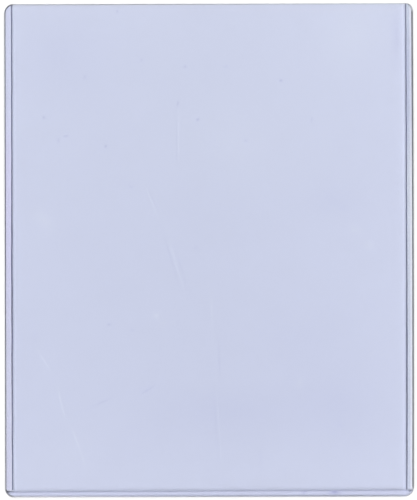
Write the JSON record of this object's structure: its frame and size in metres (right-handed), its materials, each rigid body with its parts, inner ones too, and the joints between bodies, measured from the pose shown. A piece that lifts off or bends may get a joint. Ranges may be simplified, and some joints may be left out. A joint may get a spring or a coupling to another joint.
{
  "type": "photo toploader",
  "caption": "Rigid clear plastic sleeve for a photo print: front and back sheets welded over narrow spacer strips along the sides and the bottom, with the top edge left open as the mouth.",
  "frame": {"origin": "middle of the back sheet's outer face, which lies on the table", "axes": "+Z out of the front sheet, +Y along the long side towards the open mouth, +X to the right as seen from the front"},
  "size_m": [0.216, 0.2604, 0.0017],
  "materials": {
    "clear_sheet": "clear rigid PVC sheet with a faint blue tint, glossy, with fine scratches",
    "clear_spacer": "clear PVC strip welded between the sheets, with a darker melted edge along the pocket"
  },
  "bodies": {
    "root": {"back_sheet": "clear_sheet", "front_sheet": "clear_sheet", "left_spacer": "clear_spacer", "right_spacer": "clear_spacer", "bottom_spacer": "clear_spacer"}
  },
  "joints": []
}
